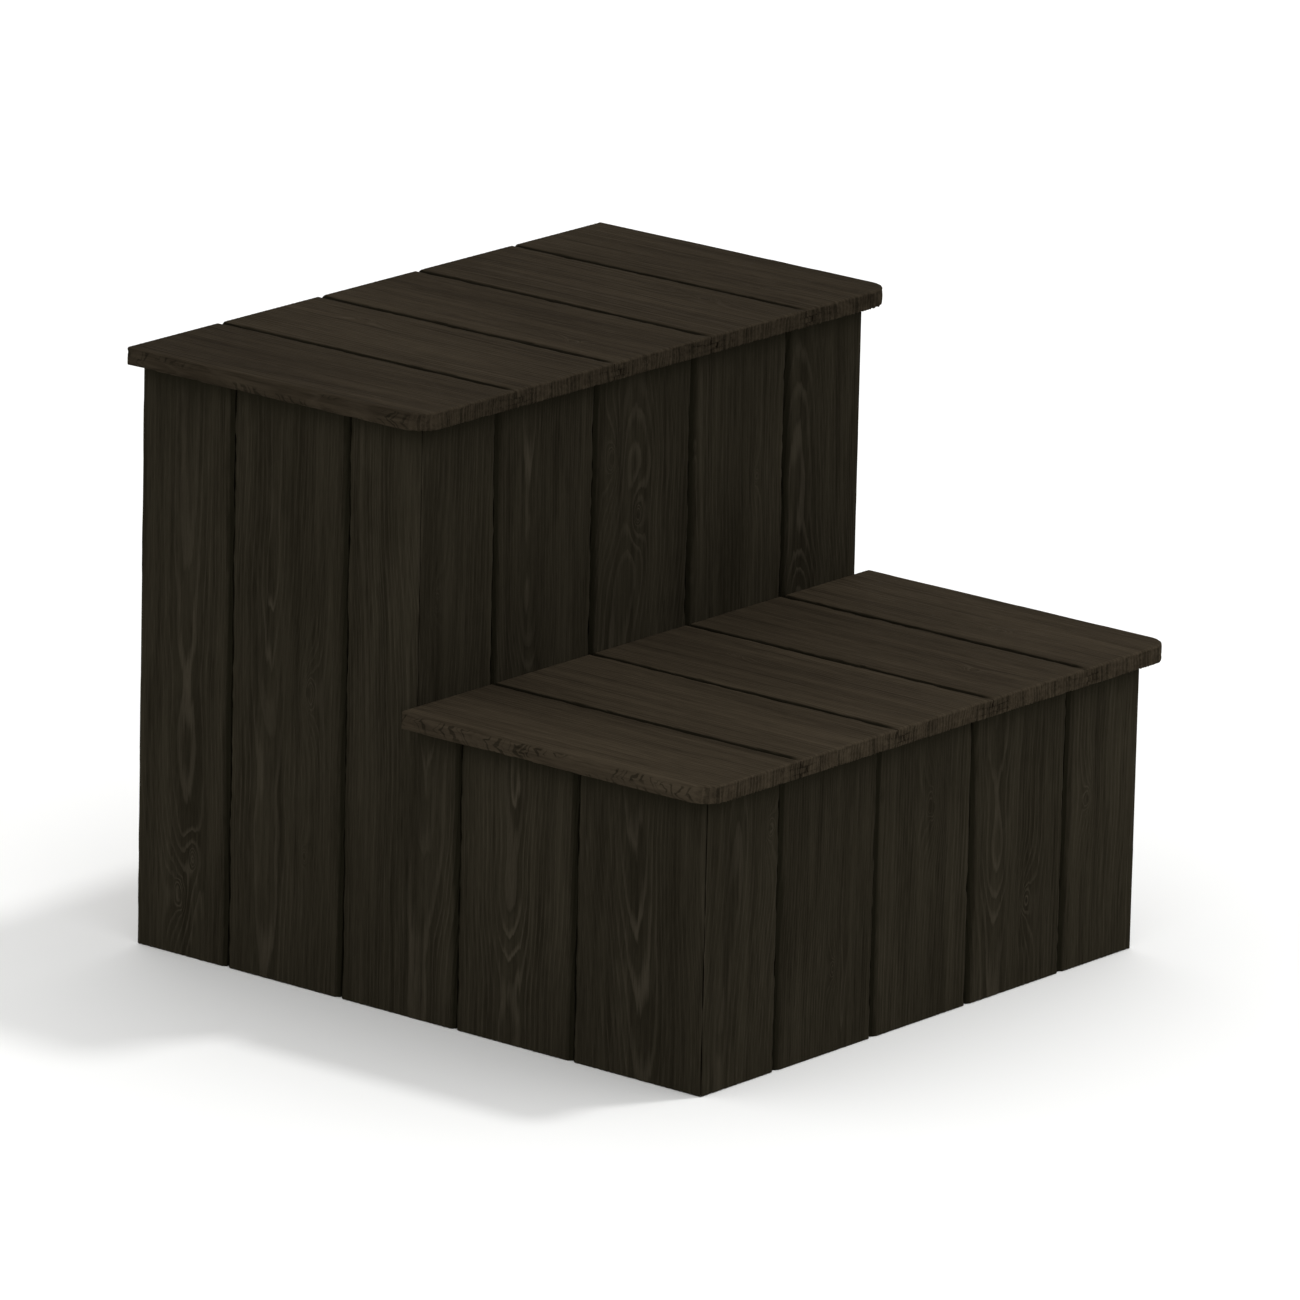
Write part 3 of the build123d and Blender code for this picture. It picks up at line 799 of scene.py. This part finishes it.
def saw_scores(n, grain, figure_space):
    """Dark slanting marks that a blunt saw left on a sawn edge, in some stretches of it."""
    _, inward, along = n.add("ShaderNodeSeparateXYZ", {"Vector": grain}).outputs
    bend = n.math("MULTIPLY_ADD", n.noise(grain, SCORE_BENDS, 2.0, 0.5), 1.6, -0.8)
    off_middle = n.math("ADD", n.math("MULTIPLY_ADD", inward, 1 / (THICK * MM), -0.5), bend)
    slant = n.math("MULTIPLY_ADD", n.math("ABSOLUTE", off_middle), SCORE_SLANT, along)
    inputs = {"W": slant, "Scale": SAW_SCORES, "Detail": 1.0}
    score = n.add("ShaderNodeTexNoise", inputs, noise_dimensions="1D").outputs["Fac"]
    score = n.remap(score, 0.53, 0.60)
    stretch = n.remap(n.noise(figure_space, SCORE_BENDS, 1.0, 0.5), 0.46, 0.54)
    return n.math("MULTIPLY", n.math("MULTIPLY", score, stretch), n.attribute("sawn"))


def stained_wood(name, stain, line, shade=1.0):
    """Brushed, stained pine: the soft early wood took the stain darkest, and its fibres show through.

    line says how clearly the growth rings are drawn, and shade scales the colours; on the low tread it
    paints the stain lighter, a painted light that makes up for the riser's shade.
    """
    dark, mid, light = (rgba(colour, shade) for colour in stain[:3])
    thick = rgba(stain.thick)
    n = Nodes(name)
    grain = n.attribute("grain", "Vector")
    fibre_space = n.stretched(grain, (1.0, 1.0, FIBRES_ALONG))
    figure_space = n.stretched(grain, (1.0, 1.0, FIGURE_ALONG))
    fibres = n.noise(fibre_space, FIBRES, 2.0, 0.6)
    strands = n.noise(fibre_space, STRANDS, 3.0, 0.6)
    streaks = n.noise(fibre_space, STREAKS, 2.0, 0.5)
    patches = n.noise(figure_space, PATCHES, 3.0, 0.5)
    late, bold, phase, year = growth_rings(n, strands, patches)

    tone = n.math("ADD", n.math("MULTIPLY", fibres, 0.35), n.math("MULTIPLY", strands, 0.4))
    tone = n.math("ADD", tone, n.math("MULTIPLY", streaks, 0.5))
    colour = n.mix(n.remap(tone, 0.50, 0.76), dark, mid)
    ridge = n.math("MULTIPLY", n.math("MULTIPLY", late, bold), n.remap(fibres, 0.3, 0.6, 0.6, 1.0))
    colour = n.mix(n.math("MULTIPLY", ridge, line), colour, light)
    foot = n.math("MULTIPLY", n.remap(phase, 0.0, 0.22, 1.0, 0.0), bold)
    colour = n.mix(n.math("MULTIPLY", foot, 0.6 * line), colour, thick)
    colour = n.cloudy(colour, figure_space, CLOUDS, 2.0, 0.84, 1.16)

    # on sawn edges the stain fills the saw's scores, and on end grain the early wood
    colour = n.mix(n.math("MULTIPLY", saw_scores(n, grain, figure_space), 0.7), colour, thick)
    soft = n.math("MULTIPLY", n.math("SUBTRACT", 1.0, late), n.attribute("ends"))
    colour = n.mix(n.math("MULTIPLY", soft, n.remap(year, 0.2, 0.9, 0.1, 0.6)), colour, thick)

    # knots are dark only at the heart
    colour = n.mix(n.remap(n.attribute("knot"), 0.93, 1.0, 0.0, 0.6), colour, dark)

    # the stain lies thick in the joints; shade is painted dark under the treads; the corners are rubbed
    # thin and given a painted highlight; the stain never reached the inside
    rubbed_and_highlit = n.math("MULTIPLY", n.attribute("worn"), n.remap(strands, 0.4, 0.7))
    colour = n.mix(n.math("MULTIPLY", rubbed_and_highlit, 0.35), colour, light)
    colour = n.mix(n.remap(n.attribute("pool"), 0.0, 1.0, 0.0, 0.94), colour, thick)
    inside = n.math("MULTIPLY", n.attribute("inside"), n.remap(strands, 0.3, 0.7, 0.55, 0.9))
    colour = n.mix(inside, colour, n.mix(late, rgba(BARE_WOOD), rgba(BARE_WOOD, 0.6)))

    rough = n.remap(n.math("ADD", late, fibres), 0.3, 1.6, 0.92, 0.74)
    height = n.math("ADD", n.math("MULTIPLY", late, 0.5), n.math("MULTIPLY", fibres, 0.55))
    height = n.math("ADD", height, n.math("MULTIPLY", strands, 0.7))
    n.finish(colour, rough, height, 0.5, 0.0007)
    n.shader.inputs["Specular IOR Level"].default_value = 0.004
    return n.material


def frame_wood(name, along):
    """Planed frame timber under a thin wash of stain. along is the axis that its grain follows."""
    n = Nodes(name)
    where = n.add("ShaderNodeTexCoord").outputs["Object"]
    stretch = [1.0, 1.0, 1.0]
    stretch[along] = FRAME_ALONG
    grain = n.stretched(where, stretch)
    fibres = n.noise(grain, FRAME_FIBRES, 3.0, 0.6)
    strands = n.noise(grain, FRAME_STRANDS, 3.0, 0.55)
    figure = n.noise(grain, FRAME_RINGS, 2.0, 0.5)
    ring = n.math("ADD", n.math("MULTIPLY", figure, 16.0), n.math("MULTIPLY", strands, 0.5))
    phase = n.math("FRACT", ring)
    late = n.math("MULTIPLY", n.remap(phase, 0.35, 0.85), n.remap(phase, 0.9, 1.0, 1.0, 0.0))
    tone = n.remap(n.math("ADD", fibres, strands), 0.75, 1.25)
    colour = n.mix(n.math("MULTIPLY", late, 0.65), n.mix(tone, FRAME_DARK, FRAME_LIGHT), FRAME_LATE)
    colour = n.cloudy(colour, where, FRAME_CLOUDS, 3.0, 0.8, 1.15)
    height = n.math("ADD", n.math("MULTIPLY", late, 0.4), fibres)
    n.finish(colour, n.remap(fibres, 0.2, 0.8, 0.85, 0.65), height, 0.35, 0.0004)
    n.shader.inputs["Specular IOR Level"].default_value = 0.2
    return n.material


def screw_steel(name):
    """Stainless steel, a little smudged."""
    n = Nodes(name)
    smudge = n.noise(n.add("ShaderNodeTexCoord").outputs["Object"], SMUDGES, 3.0, 0.6)
    n.tree.links.new(n.mix(smudge, STEEL_DULL, STEEL_BRIGHT), n.shader.inputs["Base Color"])
    n.tree.links.new(n.remap(smudge, 0.3, 0.7, 0.28, 0.45), n.shader.inputs["Roughness"])
    n.shader.inputs["Metallic"].default_value = 1.0
    return n.material


# ---------------------------------------------------------------- the whole

def finish_cad_nodes():
    """The frame and the screws keep their CAD shape."""
    steel = screw_steel("screw_steel")
    timbers = [frame_wood(f"frame_stain_{letter}", axis) for axis, letter in enumerate("xyz")]
    for name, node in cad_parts.items():
        if "board" in name:
            continue
        lo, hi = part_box(name)
        size = hi - lo
        longest = max(range(3), key=lambda axis: size[axis])
        node.data.materials.clear()
        node.data.materials.append(steel if name.endswith("screws") else timbers[longest])


make_camera()
make_floor()
make_light()
wall_material = stained_wood("wall_stain", WALL_STAIN, line=0.85)
make_cross_wall("front", wall_material)
make_cross_wall("riser", wall_material)
make_side_wall("left", wall_material)
make_side_wall("right", wall_material)
# lit and shaded copies of one stain: the low tread's is painted lighter
for tread, tread_painted_light in TREAD_PAINTED_LIGHT.items():
    tread_material = stained_wood(tread + "_stain", TREAD_STAIN, line=0.95, shade=tread_painted_light)
    for number in range(1, BOARDS + 1):
        tread_board(tread, number, tread_material)
finish_cad_nodes()
